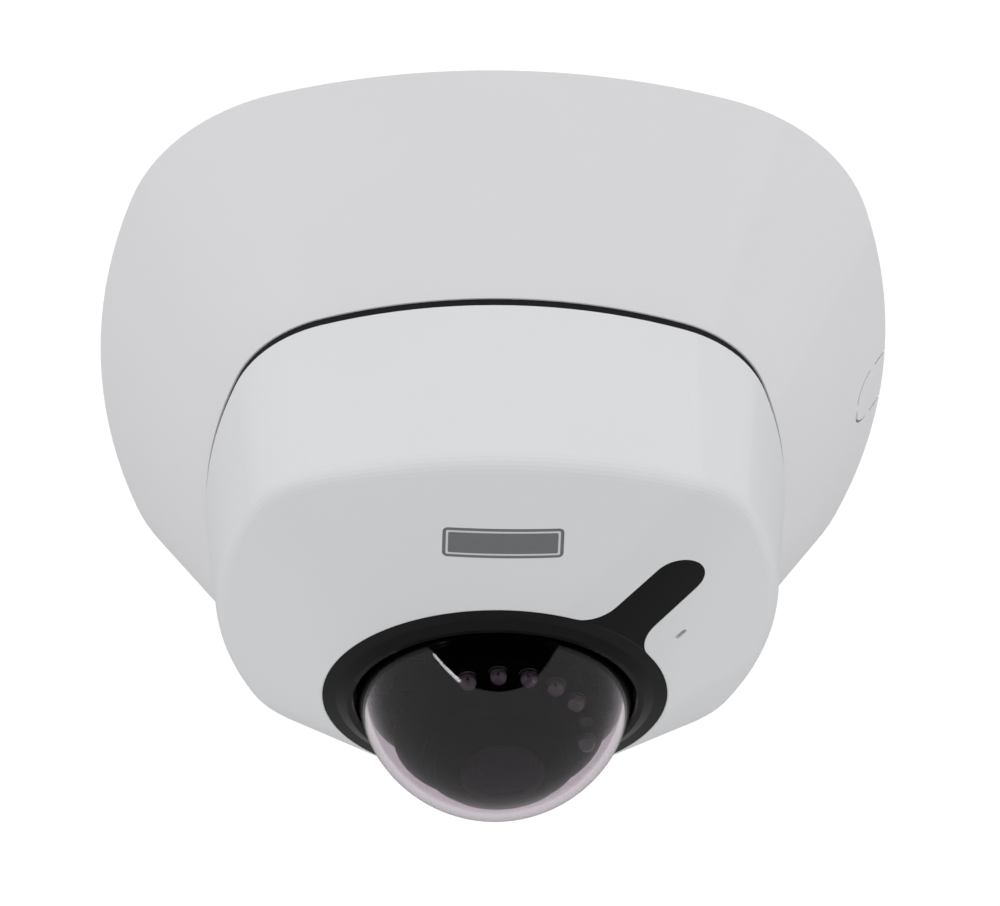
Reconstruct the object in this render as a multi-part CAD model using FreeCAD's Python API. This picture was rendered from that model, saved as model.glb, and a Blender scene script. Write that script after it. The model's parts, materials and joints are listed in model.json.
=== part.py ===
import FreeCAD, Part
import math
import os
from FreeCAD import Placement, Rotation, Vector

# Dome CCTV camera hung from a ceiling on an installation box. Millimetres, +Z up.
# The origin is the centre of the face that lies against the ceiling, so the object hangs below it.
# The camera's tall side faces -Y, and its face is turned towards +Y.

# outline shared by box, gasket, base and cover: a rounded square with bowed sides
bow = 1.83                  # side arc radius over half width
seat_half = 55.0            # half width where the camera meets the box
seat_reach = 1.11           # half diagonal over half width there
box_half = 76.3             # half width at the ceiling
box_reach = 1.10
edge_margin = 5.8           # the face's edge beyond the bezel at its short side
edge_reach = 1.12

# installation box
box_depth = 39.5            # ceiling to the seat of the camera
box_wall = 2.4
box_deck = 3.0              # closed end that the camera is screwed to
ceiling_gap = 0.8           # foam seal between the shell's edge and the ceiling
plate_thick = 2.6
plate_clear = 0.5           # ceiling plate to the inside of the shell
post_inset = 15.05          # box screw posts, in from the seat's corners
post_radius = 4.2
ceiling_pitch = 96.0        # spacing of the four ceiling screw holes
ceiling_hole = 2.6          # radius
cable_hole = 10.0           # radius
cable_y = 26.0              # cable way, off centre towards +Y
knock_width = 12.0          # side knock-out for a conduit
knock_depth = 9.6           # from the shell's edge
knock_corner = 4.4
knock_y = 1.8
knock_slot = 0.6
knock_tab = 1.6

# seam and camera base
gasket_thick = 1.9
gasket_inset = 0.3
gasket_width = 7.5
base_thick = 3.0
base_clear = 0.9            # base plate to the cover's inside
base_screw_inset = 14.0     # base screws, in from the seat's sides
cord_hole = 7.0             # radius of the rubber-lined cable way in base and deck
cord_y = -26.0
board_gap = 1.7             # main board above the base plate
board_thick = 1.6
board_side = 22.0           # main board's edges, in from the seat's sides
board_front_inset = 12.0
board_back = 18.0
board_corner = 9.0

# cover and its face
cover_wall = 2.6
trim_depth = 1.5
face_tilt = 13.0            # degrees, the face against the ceiling
dome_shift = 13.9           # dome axis from the face's centre, up the tilt
dome_drop = 8.4             # dome centre out from the plane of the face's edge
rim_width = 6.7             # black bezel, from the dome to its rim
rim_land = 0.3              # flat strip of the cover round the bezel
rim_drop = 2.7              # the rim's plane beyond the dome's centre
edge_round = 2.6            # how far the soft edge round the face runs onto wall and face
edge_steps = 5
wall_lean = 1.14            # a sloping wall measured along the axis instead of square to itself
tail_length = 15.7          # centre of the bezel tail's round end, out from the rim
tail_width = 10.2
tail_angle = -48.0          # degrees from +X, seen from the ceiling
tail_fillet = 7.0
trim_gap = 0.1
opening_gap = 3.9           # dome to the hole in the cover behind the bezel
dome_gap = 0.4              # dome to the bezel's bore
lip_rise = 1.6              # the bezel's inner lip above its rim

# dome
dome_radius = 26.1
dome_wall = 1.6
flange_width = 5.3
flange_thick = 1.6
seal_thick = 0.6
clamp_thick = 1.8
clamp_step = 0.4            # clamp's bore beyond the dome's inside
clamp_screw_gap = 4.0       # clamp screws, out from the flange

# gimbal, heights towards the ceiling from the dome's centre
table_gap = 2.15            # infrared board to the turntable at the farthest tilt
farthest_tilt = 62.0        # degrees, lens axis against the dome axis
table_thick = 2.4
table_bore = 9.5
hub_wall = 2.45
swing_gap = 2.1             # arms and turntable to the inside of the dome
arm_thick = 2.4
arm_half = 4.2
ring_thick = 3.0
ring_gap = 0.7              # fixed ring to the bore of the clamp that passes it
base_room = 3.39            # fixed ring's highest point to the base plate
running_gap = 0.05
slip_gap = 0.1
leg_inset = 3.8             # legs, in from the fixed ring's edge
leg_radius = 3.2
pivot_radius = 1.5          # tilt screws
pivot_head = 3.0
pivot_tap = 1.15
pivot_float = 0.4           # tilt carrier to the arm, filled by the washers

# camera module, distances forward from the dome's centre along the lens axis
rest_pan = 11.0             # degrees, gimbal about the dome axis as stored
rest_tilt = 15.0            # degrees, lens axis against the dome axis as stored
carrier_bore = 11.0
carrier_wall = 3.0
carrier_half = 3.2
led_level = 13.0            # front face of the infrared board
led_board_gap = 0.8         # infrared board to the arms
led_board_thick = 1.2
led_inset = 3.0
led_radius = 1.6
led_angles = (-33, -13, 7, 27, 47, 87)
eye_angle = 67
cowl_gap = 0.4              # cowl to the infrared lamps
nose_gap = 0.6              # cowl's nose to the inside of the dome
cowl_step = 0.5
nose_step = 2.2
bezel_radius = 7.6
window_radius = 6.3

# screws, by the radius of their shank
box_screw = 1.65
leg_screw = 1.0
small_screw = 0.9
thread_gap = 0.05
head_gap = 0.55             # shank to a hole it passes freely

# sizes that follow from the ones above
shell_level = -ceiling_gap
seam_level = -box_depth
deck_level = seam_level + box_deck
cover_level = seam_level - gasket_thick
base_level = cover_level - base_thick
board_level = base_level - board_gap
board_face = board_level - board_thick
post_reach = seat_half * seat_reach - post_inset
base_screw_reach = seat_half - base_screw_inset
board_half = seat_half - board_side
board_front = board_front_inset - seat_half

dome_bore = dome_radius - dome_wall
lip_radius = dome_radius + dome_gap
opening_radius = dome_radius + opening_gap
flange_radius = dome_radius + flange_width
rim_radius = dome_radius + rim_width
edge_half = dome_shift + rim_radius + edge_margin
tail_reach = rim_radius + tail_length
clamp_bore = dome_bore + clamp_step
clamp_screw_reach = flange_radius + clamp_screw_gap

arm_outer = dome_bore - swing_gap
arm_inner = arm_outer - arm_thick
table_radius = arm_outer
hub_radius = table_bore + hub_wall
ring_radius = clamp_bore - ring_gap
leg_reach = ring_radius - leg_inset
carrier_radius = carrier_bore + carrier_wall
led_board_radius = arm_inner - led_board_gap
led_reach = led_board_radius - led_inset
cowl_radius = led_reach - led_radius - cowl_gap
cowl_ball = dome_bore - nose_gap - cowl_step    # ball that the cowl's nose follows
nose_radius = cowl_radius - nose_step

tilt_rad = math.radians(farthest_tilt)
table_level = led_board_radius * math.sin(tilt_rad) - led_level * math.cos(tilt_rad) + table_gap
ring_low = table_level + table_thick + slip_gap
ring_high = ring_low + ring_thick

# frames: the dome's centre and axis, the gimbal turned in it, the lens tilted in that
face_rad = math.radians(face_tilt)
dome_y = dome_shift * math.cos(face_rad) + dome_drop * math.sin(face_rad)
dome_z = base_level - base_room - ring_high * math.cos(face_rad) - ring_radius * math.sin(face_rad)
dome_centre = Vector(0, dome_y, dome_z)
head = Placement(dome_centre, Rotation(Vector(1, 0, 0), face_tilt))
gimbal = head.multiply(Placement(Vector(0, 0, 0), Rotation(Vector(0, 0, 1), rest_pan)))
lens = gimbal.multiply(Placement(Vector(0, 0, 0), Rotation(Vector(1, 0, 0), 180 - rest_tilt)))
row = Placement()


def outline_points(half, reach):
    """Start, middle and end of the arcs of a rounded square: four bowed sides, four tangent corners."""
    side = bow * half
    offset = side - half
    diagonal = reach * half
    root = math.sqrt(2)
    corner = ((side - diagonal) ** 2 - offset ** 2) / (2 * offset - 2 * root * (side - diagonal))
    radius = diagonal - root * corner
    angle = math.atan2(corner, offset + corner)
    arcs = []
    for turn in range(4):
        spin = Rotation(Vector(0, 0, 1), 90 * turn)
        for x, y, r, start, end in ((0, offset, side, -angle, angle),
                                    (corner, -corner, radius, angle, math.pi / 2 - angle)):
            arc = []
            for a in (start, (start + end) / 2, end):
                arc.append(spin.multVec(Vector(x + r * math.sin(a), y - r * math.cos(a), 0)))
            arcs.append(arc)
    return arcs


def circle_points(radius, angle=20.0):
    """The same for a circle, cut where the outline's arcs meet."""
    arcs = []
    for turn in range(4):
        middle = -90 + 90 * turn
        for start, end in ((middle - angle, middle + angle), (middle + angle, middle + 90 - angle)):
            arc = []
            for a in (start, (start + end) / 2, end):
                arc.append(Vector(radius * math.cos(math.radians(a)), radius * math.sin(math.radians(a)), 0))
            arcs.append(arc)
    return arcs


def placed(arcs, place):
    """Arc points carried into a frame."""
    return [[place.multVec(p) for p in arc] for arc in arcs]


def mixed(arcs, others, share):
    """Arc points a share of the way to the others."""
    return [[p * (1 - share) + q * share for p, q in zip(arc, other)] for arc, other in zip(arcs, others)]


def closed_wire(arcs):
    """Wire through arc points."""
    return Part.Wire([Part.Arc(*arc).toShape() for arc in arcs])


def outline(half, reach):
    """Closed wire of the shared outline."""
    return closed_wire(outline_points(half, reach))


def moved(shape, place):
    """A copy of the shape, carried into a frame."""
    result = shape.copy()
    result.Placement = place.multiply(result.Placement)
    return result


def rod(radius, low, high, place=row, x=0.0, y=0.0):
    """Round bar along the frame's Z."""
    return moved(Part.makeCylinder(radius, high - low, Vector(x, y, low)), place)


def tube(outer, bore, low, high, place=row, x=0.0, y=0.0):
    """Round tube along the frame's Z."""
    return rod(outer, low, high, place, x, y).cut(rod(bore, low - 1, high + 1, place, x, y))


def block(x, y, z, place=row):
    """Box from three (low, high) pairs."""
    return moved(Part.makeBox(x[1] - x[0], y[1] - y[0], z[1] - z[0], Vector(x[0], y[0], z[0])), place)


def cross_rod(radius, low, high, place, side=1):
    """Round bar along the frame's X, at its origin."""
    start = Vector(side * low, 0, 0)
    return moved(Part.makeCylinder(radius, high - low, start, Vector(side, 0, 0)), place)


def lathe(points, place=row):
    """Solid turned about the frame's Z from (radius, height) corners."""
    corners = [Vector(r, 0, h) for r, h in points]
    wire = Part.makePolygon(corners + [corners[0]])
    return moved(Part.Face(wire).revolve(Vector(0, 0, 0), Vector(0, 0, 1), 360), place)


def slab(half, reach, low, high):
    """Plate of the shared outline."""
    face = Part.Face(outline(half, reach))
    face.translate(Vector(0, 0, low))
    return face.extrude(Vector(0, 0, high - low))


def join(shapes):
    """One solid from overlapping or touching ones."""
    result = shapes[0]
    for shape in shapes[1:]:
        result = result.fuse(shape)
    return result.removeSplitter()


def group(shapes):
    """Separate solids in one node."""
    solids = []
    for shape in shapes:
        solids.extend(shape.Solids)
    return Part.makeCompound(solids)


def save(name, shape):
    """Write one node, refusing anything broken."""
    if not shape.Solids or not shape.isValid():
        raise ValueError(name + " is not a valid solid")
    clean = shape.Solids[0] if len(shape.Solids) == 1 else group([shape])
    clean.exportStep("parts/" + name + ".step")
    print(name, len(clean.Solids), round(clean.Volume, 1))


def turned(count, start=0.0):
    """Evenly spaced angles in degrees."""
    return [start + 360.0 * i / count for i in range(count)]


def spot(reach, degrees):
    """x and y at a distance and an angle."""
    return reach * math.cos(math.radians(degrees)), reach * math.sin(math.radians(degrees))


def pan_screw(shank, length, head_radius, head_height, place=row, x=0.0, y=0.0, level=0.0):
    """Screw with a low round head and a cross recess; the shank runs towards the frame's +Z."""
    body = rod(shank, level, level + length, place, x, y)
    cap = rod(head_radius, level - head_height, level, place, x, y)
    slot = head_radius * 0.6
    width = head_radius * 0.14
    sink = (level - head_height - 1, level - head_height * 0.45)
    cross = block((x - slot, x + slot), (y - width, y + width), sink, place)
    other = block((x - width, x + width), (y - slot, y + slot), sink, place)
    return join([body, cap]).cut(cross).cut(other)


# ---- installation box

box_slope = (box_half - seat_half) / (box_depth - ceiling_gap)
box_lean = math.hypot(1, box_slope)
box_inset = box_wall * box_lean


def box_body(inset):
    """Tapered body between the seam and the shell's edge."""
    seat = outline(seat_half - inset, seat_reach)
    seat.translate(Vector(0, 0, seam_level))
    rear = outline(box_half - inset, box_reach)
    rear.translate(Vector(0, 0, shell_level))
    return Part.makeLoft([seat, rear], True, True)


def box_half_at(level):
    """Outer half width of the shell at a height."""
    return seat_half + (level - seam_level) * box_slope


def knock_prism(grow):
    """Prism with two round corners through the +X wall, open at the shell's edge."""
    half = knock_width / 2 + grow
    start = box_half - 35
    body = block((start, start + 50), (knock_y - half, knock_y + half), (shell_level - knock_depth - grow, shell_level + 5))
    corners = []
    for edge in body.Edges:
        ends = [v.Point for v in edge.Vertexes]
        if abs(ends[0].x - ends[1].x) > 40 and ends[0].z < shell_level:
            corners.append(edge)
    return body.makeFillet(knock_corner + grow, corners)


def post_spots():
    """Places of the box screws."""
    return [spot(post_reach, a) for a in turned(4, 45)]


def base_screw_spots():
    """Places of the screws that hold the camera base to the box."""
    return [spot(base_screw_reach, a) for a in turned(4, 0)]


def box_walls():
    """Shell of the box before the knock-out is freed."""
    outer = box_body(0)
    hollow = box_body(box_inset)
    span = (deck_level, 10)
    hollow = hollow.common(block((-200, 200), (-200, 200), span))
    shell = outer.cut(hollow)
    for x, y in base_screw_spots():
        shell = shell.fuse(rod(4.0, deck_level - 1, deck_level + 4, row, x, y))
    for x, y in base_screw_spots():
        shell = shell.cut(rod(box_screw + thread_gap, seam_level - 1, deck_level + 5, row, x, y))
    for x, y in post_spots():
        shell = shell.cut(rod(box_screw + head_gap, seam_level - 1, deck_level + 1, row, x, y))
    return shell.cut(rod(cord_hole, seam_level - 1, deck_level + 1, row, 0, cord_y))


def make_box_shell(walls):
    save("box_shell", walls.cut(knock_prism(knock_slot)))


def make_knockout(walls):
    plug = walls.common(knock_prism(0))
    ring = walls.common(knock_prism(knock_slot))
    level = shell_level - knock_depth / 2
    reach = knock_width
    tabs = block((0, 200), (knock_y - reach, knock_y + reach), (level - knock_tab / 2, level + knock_tab / 2))
    foot = block((0, 200), (knock_y - knock_tab / 2, knock_y + knock_tab / 2), (seam_level, level))
    plug = plug.fuse(ring.common(tabs)).fuse(ring.common(foot))
    save("conduit_knockout", plug.removeSplitter())


def plate_half():
    """Half width of the ceiling plate inside the shell."""
    return box_half_at(-plate_thick) - box_inset - plate_clear


def make_back_plate():
    half = plate_half()
    plate = slab(half, box_reach, -plate_thick, 0)
    for x, y in post_spots():
        plate = plate.fuse(rod(post_radius, deck_level, -plate_thick / 2, row, x, y))
    for x in (-ceiling_pitch / 2, ceiling_pitch / 2):
        for y in (-ceiling_pitch / 2, ceiling_pitch / 2):
            plate = plate.cut(rod(ceiling_hole, -plate_thick - 1, 1, row, x, y))
    plate = plate.cut(rod(cable_hole, -plate_thick - 1, 1, row, 0, cable_y))
    for x, y in post_spots():
        plate = plate.cut(rod(box_screw + thread_gap, deck_level - 1, deck_level + 14, row, x, y))
    save("back_plate", plate)


def make_box_screws():
    screws = []
    for x, y in post_spots():
        screws.append(pan_screw(box_screw, 12, 3.6, 1.5, row, x, y, seam_level))
    save("box_screws", group(screws))


def make_ceiling_seal():
    outer = slab(box_half - 1.1, box_reach, shell_level, 0)
    inner = slab(plate_half() + 0.3, box_reach, shell_level - 1, 1)
    save("ceiling_seal", outer.cut(inner))


# ---- camera base

short_edge = head.multVec(Vector(0, edge_half - dome_shift, dome_drop))
side_slope_back = (seat_half - short_edge.y) / (cover_level - short_edge.z)    # lean of the short +Y wall
base_half = seat_half - cover_wall - base_thick * max(side_slope_back, 0) - base_clear


def leg_spots():
    """Places of the bracket's legs: level with the dome axis at the fixed ring."""
    middle = head.multVec(Vector(0, 0, table_level + table_thick))
    return [(middle.x + spot(leg_reach, a)[0], middle.y + spot(leg_reach, a)[1]) for a in (90, 210, 330)]


def board_screw_spots():
    """Main board fixings."""
    places = []
    for x in (-board_half + 4, board_half - 4):
        places.append((x, board_front + 9))
        places.append((x, board_back - 4))
    return places


def make_seat_gasket():
    ring = slab(seat_half - gasket_inset, seat_reach, cover_level, seam_level)
    hollow = slab(seat_half - gasket_inset - gasket_width, seat_reach, cover_level - 1, seam_level + 1)
    save("seat_gasket", ring.cut(hollow))


def make_camera_base():
    base = slab(base_half, seat_reach, base_level, cover_level)
    for x, y in board_screw_spots():
        base = base.fuse(rod(2.6, board_level, base_level + 1, row, x, y))
        base = base.cut(rod(small_screw + thread_gap, board_level - 1, base_level + 1.2, row, x, y))
    for x, y in base_screw_spots():
        base = base.cut(rod(box_screw + head_gap, base_level - 1, cover_level + 1, row, x, y))
    for x, y in leg_spots():
        base = base.cut(rod(leg_screw + 0.4, base_level - 1, cover_level + 1, row, x, y))
        base = base.cut(rod(2.8, cover_level - 1.3, cover_level + 1, row, x, y))
    save("camera_base", base.cut(rod(cord_hole, base_level - 1, cover_level + 1, row, 0, cord_y)))


def make_base_screws():
    screws = []
    for x, y in base_screw_spots():
        screws.append(pan_screw(box_screw, base_thick + gasket_thick + 6, 3.4, 1.8, row, x, y, base_level))
    save("base_screws", group(screws))


def make_cable_grommet():
    seat = cord_hole - 0.1
    points = [(2.6, base_level - 1.4), (seat + 2, base_level - 1.4), (seat + 2, base_level), (seat, base_level),
              (seat, cover_level), (seat - 0.6, cover_level + 1.2), (2.6, cover_level + 1.2)]
    save("cable_grommet", moved(lathe(points), Placement(Vector(0, cord_y, 0), Rotation())))


def make_main_board():
    board = block((-board_half, board_half), (board_front, board_back), (board_face, board_level))
    corners = []
    for edge in board.Edges:
        ends = [v.Point for v in edge.Vertexes]
        if abs(ends[0].z - ends[1].z) > board_thick / 2 and ends[0].y < board_front + 1:
            corners.append(edge)
    board = board.makeFillet(board_corner, corners)
    for x, y in leg_spots():
        board = board.cut(rod(leg_radius + 0.6, board_face - 1, board_level + 1, row, x, y))
    for x, y in board_screw_spots():
        board = board.cut(rod(small_screw + 0.2, board_face - 1, board_level + 1, row, x, y))
    board = board.cut(rod(4.4, board_face - 1, board_level + 1, row, 0, -base_screw_reach))
    save("main_board", board.cut(rod(cord_hole + 2.2, board_face - 1, board_level + 1, row, 0, cord_y)))
    screws = []
    for x, y in board_screw_spots():
        screws.append(pan_screw(small_screw, board_thick + 1.8, 1.9, 1.1, row, x, y, board_face))
    save("board_screws", group(screws))


def chip(x, y, size_x, size_y, height, lift=0.0):
    """Box standing on the main board's lower face."""
    top = board_face - lift
    return block((x - size_x / 2, x + size_x / 2), (y - size_y / 2, y + size_y / 2), (top - height, top))


card_x = 9.0 - board_half
card_y = -14.0
card_size = (15.0, 11.0, 1.0)
button_x = board_half - 9.6
button_y = board_front + 11.0
button_travel = 0.5


def make_electronics():
    save("processor_chip", chip(17, -14, 14, 14, 1.4))
    fins = [chip(17, -14, 13, 13, 1.2, 1.4)]
    for i in range(5):
        fins.append(chip(11.6 + 2.7 * i, -14, 1.0, 13, 3.2, 2.5))
    save("heat_sink", join(fins))
    save("memory_chips", group([chip(15, -30, 9, 7, 1.0), chip(-18, -30, 9, 7, 1.0)]))
    socket = chip(card_x, card_y, 14.5, 13.6, 1.9)
    pocket = block((-100, card_x + 6.0), (card_y - 5.65, card_y + 5.65), (board_face - 1.6, board_face - 0.4))
    save("card_socket", socket.cut(pocket))
    save("memory_card", block((card_x + 6.0 - 0.2 - card_size[0], card_x + 6.0 - 0.2),
                              (card_y - card_size[1] / 2, card_y + card_size[1] / 2),
                              (board_face - 1.5, board_face - 0.5)))
    save("ribbon_connector", chip(-4, -10, 3.2, 13, 2.2))
    body = chip(button_x, button_y, 6.2, 6.2, 3.4)
    save("reset_switch", body.cut(rod(1.75, board_face - 5, board_face - 1.2, row, button_x, button_y)))
    save("reset_button", rod(1.7, board_face - 5.0, board_face - 1.2 - button_travel, row, button_x, button_y))
    save("antenna", chip(-19, board_back - 2.5, 14, 3.2, 1.2))


# ---- gimbal

def make_gimbal_bracket():
    ring = tube(ring_radius, hub_radius + running_gap, ring_low, ring_high, head)
    legs = []
    keep = block((-60, 60), (-60, 60), (ring_high - 1.0, 60), head)
    for x, y in leg_spots():
        legs.append(rod(leg_radius, dome_centre.z, base_level, row, x, y).common(keep))
    bracket = join([ring] + legs)
    for x, y in leg_spots():
        bracket = bracket.cut(rod(leg_screw + thread_gap, base_level - 3.0, base_level + 1, row, x, y))
    save("gimbal_bracket", bracket)
    screws = []
    flip = Placement(Vector(0, 0, 0), Rotation(Vector(1, 0, 0), 180))
    for x, y in leg_spots():
        screws.append(pan_screw(leg_screw, base_thick - 1.3 + 2.6, 2.6, 1.2, flip, x, -y, -(cover_level - 1.3)))
    save("gimbal_screws", group(screws))


def make_pan_yoke():
    table = tube(table_radius, table_bore, table_level, table_level + table_thick, head)
    hub = tube(hub_radius, table_bore, table_level, ring_high + slip_gap + 1.0, head)
    shapes = [table, hub]
    for side in (-1, 1):
        low, high = sorted((side * arm_inner, side * arm_outer))
        shapes.append(block((low, high), (-arm_half, arm_half), (0, table_level + 1), gimbal))
        shapes.append(cross_rod(arm_half, arm_inner, arm_outer, gimbal, side))
    yoke = join(shapes)
    yoke = yoke.common(rod(table_radius, -10, 40, head))
    for side in (-1, 1):
        yoke = yoke.cut(cross_rod(pivot_radius + running_gap, arm_inner - 1, arm_outer + 1, gimbal, side))
        yoke = yoke.cut(cross_rod(pivot_head + 0.15, arm_outer - 0.95, arm_outer + 1, gimbal, side))
    groove = tube(hub_radius + 2, hub_radius - 0.8, ring_high + slip_gap, ring_high + slip_gap + 0.85, head)
    save("pan_yoke", yoke.cut(groove))
    clip = tube(hub_radius + 1.8, hub_radius - 0.75, ring_high + slip_gap + 0.02,
                ring_high + slip_gap + 0.82, head)
    gap = block((-2.2, 2.2), (0, hub_radius + 5), (ring_high - 1, ring_high + 3), head)
    save("pan_circlip", clip.cut(gap))


def make_tilt_parts():
    ring = tube(carrier_radius, carrier_bore, -carrier_half, carrier_half, lens)
    bosses = [ring]
    for side in (-1, 1):
        bosses.append(cross_rod(3.1, carrier_bore + 1.5, arm_inner - pivot_float, lens, side))
    carrier = join(bosses)
    for side in (-1, 1):
        carrier = carrier.cut(cross_rod(pivot_tap + thread_gap, carrier_bore + 1.8, arm_inner + 1, lens, side))
    save("tilt_carrier", carrier)
    screws = []
    washers = []
    for side in (-1, 1):
        shoulder = cross_rod(pivot_radius, arm_inner - pivot_float, arm_outer - 0.9, gimbal, side)
        cap = cross_rod(pivot_head, arm_outer - 0.9, arm_outer - 0.05, gimbal, side)
        thread = cross_rod(pivot_tap, carrier_bore + 2.2, arm_inner - pivot_float, gimbal, side)
        low, high = sorted((side * (arm_outer - 0.5), side * (arm_outer + 1)))
        slot = block((low, high), (-2.2, 2.2), (-0.35, 0.35), gimbal)
        screws.append(join([shoulder, cap, thread]).cut(slot))
        washer = cross_rod(pivot_head - 0.1, arm_inner - pivot_float + 0.02, arm_inner - 0.05, gimbal, side)
        washers.append(washer.cut(cross_rod(pivot_radius + 0.05, arm_inner - 1, arm_inner + 1, gimbal, side)))
    save("tilt_screws", group(screws))
    save("tilt_washers", group(washers))


# ---- camera module

def ball_height(radius, ball):
    """Forward distance of a ball's surface at a radius from the lens axis."""
    return math.sqrt(ball ** 2 - radius ** 2)


def make_module():
    bore = carrier_bore - 1.4
    outer = carrier_bore - 0.06
    flange = carrier_half + 0.1
    back = led_level - led_board_thick
    points = [(bore, -carrier_half - 0.4), (outer, -carrier_half - 0.4), (outer, flange), (carrier_radius - 0.6, flange),
              (led_board_radius - 0.6, back - 2.0), (led_board_radius - 0.6, back), (led_board_radius - 2.0, back),
              (led_board_radius - 2.0, back - 1.6), (carrier_radius - 1.4, flange + 1.6), (bore, flange + 1.6)]
    save("module_housing", lathe(points, lens))
    clip = tube(carrier_bore + 1.5, bore - 1.2, -carrier_half - 1.3, -carrier_half - 0.42, lens)
    for a in turned(3, 30):
        x, y = spot(bore + 0.7, a)
        clip = clip.cut(rod(0.62, -carrier_half - 3, 0, lens, x, y))
    save("rotation_clip", clip)
    save("sensor_board", rod(bore - 0.2, -carrier_half - 0.3, -carrier_half + 0.8, lens))
    save("image_sensor", block((-4, 4), (-3.4, 3.4), (-carrier_half + 0.8, -carrier_half + 1.7), lens))


def make_lens():
    level = -carrier_half + 0.8
    mount = block((-6.4, 6.4), (-6.4, 6.4), (level, level + 6.2), lens)
    mount = mount.cut(rod(5.5, level - 1, level + 3, lens)).cut(rod(6.0, level + 2.9, level + 10, lens))
    save("lens_holder", mount)
    nose = ball_height(bezel_radius, cowl_ball + cowl_step)
    barrel = [(4.4, level + 3.2), (5.94, level + 3.2), (5.94, level + 12), (6.8, level + 12.6), (6.8, nose - 1.9),
              (5.4, nose - 1.9), (5.4, level + 12), (4.4, level + 10)]
    save("lens_barrel", lathe(barrel, lens))
    front = rod(5.35, level + 12.3, nose - 3.0, lens)
    ball = moved(Part.makeSphere(9.0, Vector(0, 0, nose - 11.2)), lens)
    rear = rod(4.3, level + 4, level + 6.2, lens)
    middle = rod(4.3, level + 7.2, level + 9.4, lens)
    save("lens_elements", group([front.common(ball), rear, middle]))
    tip = ball_height(bezel_radius, cowl_ball + cowl_step)
    ring = [(window_radius, tip - 1.6), (bezel_radius, tip - 1.6), (bezel_radius, tip - 0.1),
            (bezel_radius - 0.3, tip + 0.1), (window_radius + 0.35, tip + 0.1), (window_radius, tip - 0.2)]
    save("lens_bezel", lathe(ring, lens))
    save("lens_window", rod(window_radius - 0.05, tip - 1.5, tip - 0.6, lens))


def cowl_profile_arc(ball, start, end, steps=4):
    """Corners along the cowl's ball from one radius to another."""
    points = []
    for i in range(steps + 1):
        radius = start + (end - start) * i / steps
        points.append((radius, ball_height(radius, ball)))
    return points


def make_front_cowl():
    wall = 1.2
    face = cowl_ball + cowl_step
    outer = [(cowl_radius, led_level)]
    outer += cowl_profile_arc(cowl_ball, cowl_radius, nose_radius + 0.3)
    outer += cowl_profile_arc(face, nose_radius, bezel_radius + 0.05)
    inner = [(bezel_radius + 0.05, ball_height(bezel_radius, face) - 1.6),
             (cowl_radius - wall - 1.6, ball_height(cowl_radius, cowl_ball) - 0.4),
             (cowl_radius - wall, ball_height(cowl_radius, cowl_ball) - 2.0),
             (cowl_radius - wall, led_level)]
    save("front_cowl", lathe(outer + inner, lens))


def led_spot(reach, angle):
    """Place on the infrared board, clockwise from the side towards -Y."""
    return reach * math.sin(math.radians(angle)), reach * math.cos(math.radians(angle))


def make_led_board():
    board = tube(led_board_radius, 8.4, led_level - led_board_thick, led_level, lens)
    leds = []
    for angle in led_angles:
        x, y = led_spot(led_reach, angle)
        bulb = rod(led_radius, led_level, led_level + 0.9, lens, x, y)
        tip = moved(Part.makeSphere(led_radius - 0.02, Vector(x, y, led_level + 0.9)), lens)
        above = block((-30, 30), (-30, 30), (led_level + 0.4, led_level + 9), lens)
        leds.append(join([bulb, tip.common(above)]))
    save("infrared_board", board)
    save("infrared_leds", group(leds))
    x, y = led_spot(led_reach, eye_angle)
    save("light_sensor", rod(1.3, led_level, led_level + 0.7, lens, x, y))


# ---- cover

def cover_sections(inset):
    """Arc points at the seam, at the face's edge and at the rim of the bezel."""
    seat = placed(outline_points(seat_half - inset, seat_reach), Placement(Vector(0, 0, cover_level), Rotation()))
    edge_place = head.multiply(Placement(Vector(0, -dome_shift, dome_drop + 0.6 * inset), Rotation()))
    edge = placed(outline_points(edge_half - inset, edge_reach), edge_place)
    rim_place = head.multiply(Placement(Vector(0, 0, -rim_drop + wall_lean * inset), Rotation()))
    return seat, edge, placed(circle_points(rim_radius), rim_place)


def cover_body(inset):
    """Closed body from the seam, over the face's edge, to the rim of the bezel."""
    return Part.makeLoft([closed_wire(arcs) for arcs in cover_sections(inset)], True, True)


def shortened(arcs, corners, length):
    """Arc points a fixed length from the corners towards the arcs."""
    result = []
    for arc, other in zip(arcs, corners):
        result.append([q + (p - q).normalize() * min(length, p.distanceToPoint(q) * 0.45)
                       for p, q in zip(arc, other)])
    return result


def rounded_body():
    """The cover's outside: the same body with a soft edge round its face."""
    seat, edge, rim = cover_sections(0)
    low = shortened(seat, edge, edge_round)
    high = shortened(rim, edge, edge_round)
    sections = [seat]
    for i in range(edge_steps + 1):
        share = i / edge_steps
        sections.append(mixed(mixed(low, edge, share), mixed(edge, high, share), share))
    sections.append(rim)
    return Part.makeLoft([closed_wire(arcs) for arcs in sections], True, True)


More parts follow.
